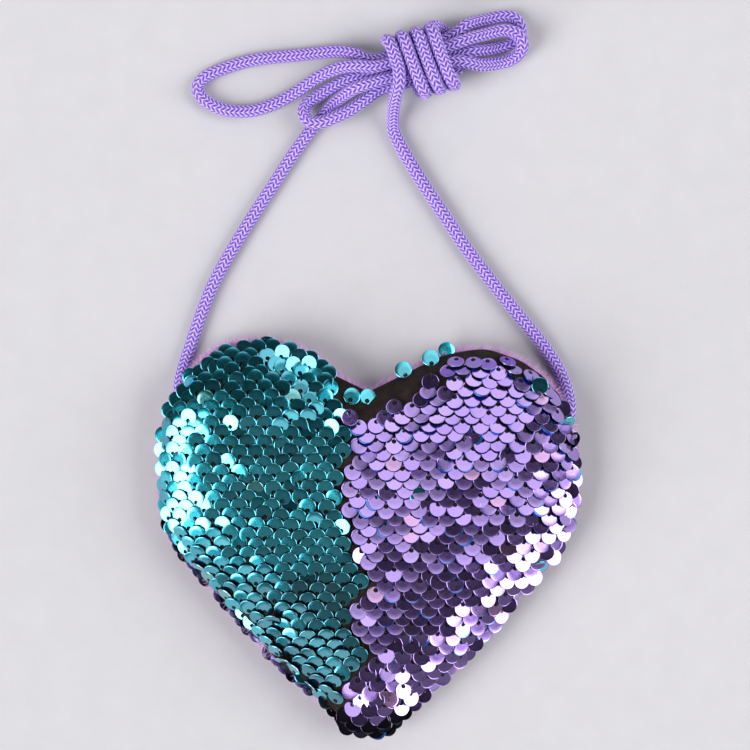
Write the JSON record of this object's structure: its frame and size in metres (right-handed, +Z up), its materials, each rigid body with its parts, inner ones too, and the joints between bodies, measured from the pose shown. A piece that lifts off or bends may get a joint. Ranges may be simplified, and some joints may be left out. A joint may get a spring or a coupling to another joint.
{
  "type": "heart shaped purse",
  "caption": "Padded heart shaped purse with reversible sequins on the front, a plush zipped back and a knotted cord handle sewn in at both shoulders.",
  "frame": {"origin": "centre of the bounding box of the heart at the height of the face it rests on, without the cord", "axes": "+X across the heart's width, +Y from the tip to the lobes, +Z up out of the sequin front; the purse lies on its back"},
  "size_m": [0.1203, 0.207, 0.0181],
  "materials": {
    "mesh_cloth": "matt stretch mesh",
    "wadding": "matt fibre wadding",
    "lining": "satin weave",
    "plush": "short soft pile",
    "zip_tape": "woven tape",
    "zip_coil": "moulded",
    "zip_metal": "nickel plated",
    "sequin_teal": "mirror gloss film",
    "sequin_purple": "satin gloss film",
    "cord": "knitted polyester"
  },
  "bodies": {
    "purse": {"front_backing": "mesh_cloth", "front_wadding": "wadding", "front_lining": "lining", "back_plush_upper": "plush", "back_plush_lower": "plush", "back_wadding_upper": "wadding", "back_wadding_lower": "wadding", "back_lining_upper": "lining", "back_lining_lower": "lining", "zip_tape_upper": "zip_tape", "zip_tape_lower": "zip_tape", "zip_coil_upper": "zip_coil", "zip_coil_lower": "zip_coil", "zip_end_stops": "zip_metal", "teal_sequins": "sequin_teal", "purple_sequins": "sequin_purple", "cord_arm_left": "cord", "cord_arm_right": "cord", "cord_hank": "cord"},
    "slider": {"zip_slider": "zip_metal"},
    "pull": {"zip_pull": "zip_metal"},
    "flip_1": {"flip_sequin_1": "sequin_teal"},
    "flip_2": {"flip_sequin_2": "sequin_teal"},
    "flip_3": {"flip_sequin_3": "sequin_teal"}
  },
  "joints": [
    {"name": "zip_slide", "type": "slide", "parent": "purse", "child": "slider", "axis": [-1, 0, 0], "range_m": [0, 0.058]},
    {"name": "pull_swing", "type": "hinge", "parent": "slider", "child": "pull", "pos_m": [0.03375, 0.015, 0.0015], "axis": [0, -1, 0], "range_deg": [0, 100]},
    {"name": "flip_1_turn", "type": "hinge", "parent": "purse", "child": "flip_1", "pos_m": [0.01047, 0.04681, 0.0116], "axis": [0.9397, 0.342, 0], "range_deg": [0, 100]},
    {"name": "flip_2_turn", "type": "hinge", "parent": "purse", "child": "flip_2", "pos_m": [0.01796, 0.05007, 0.01099], "axis": [0.9848, 0.1736, 0], "range_deg": [0, 100]},
    {"name": "flip_3_turn", "type": "hinge", "parent": "purse", "child": "flip_3", "pos_m": [0.04872, 0.04202, 0.01478], "axis": [1, 0, 0], "range_deg": [0, 100]}
  ]
}
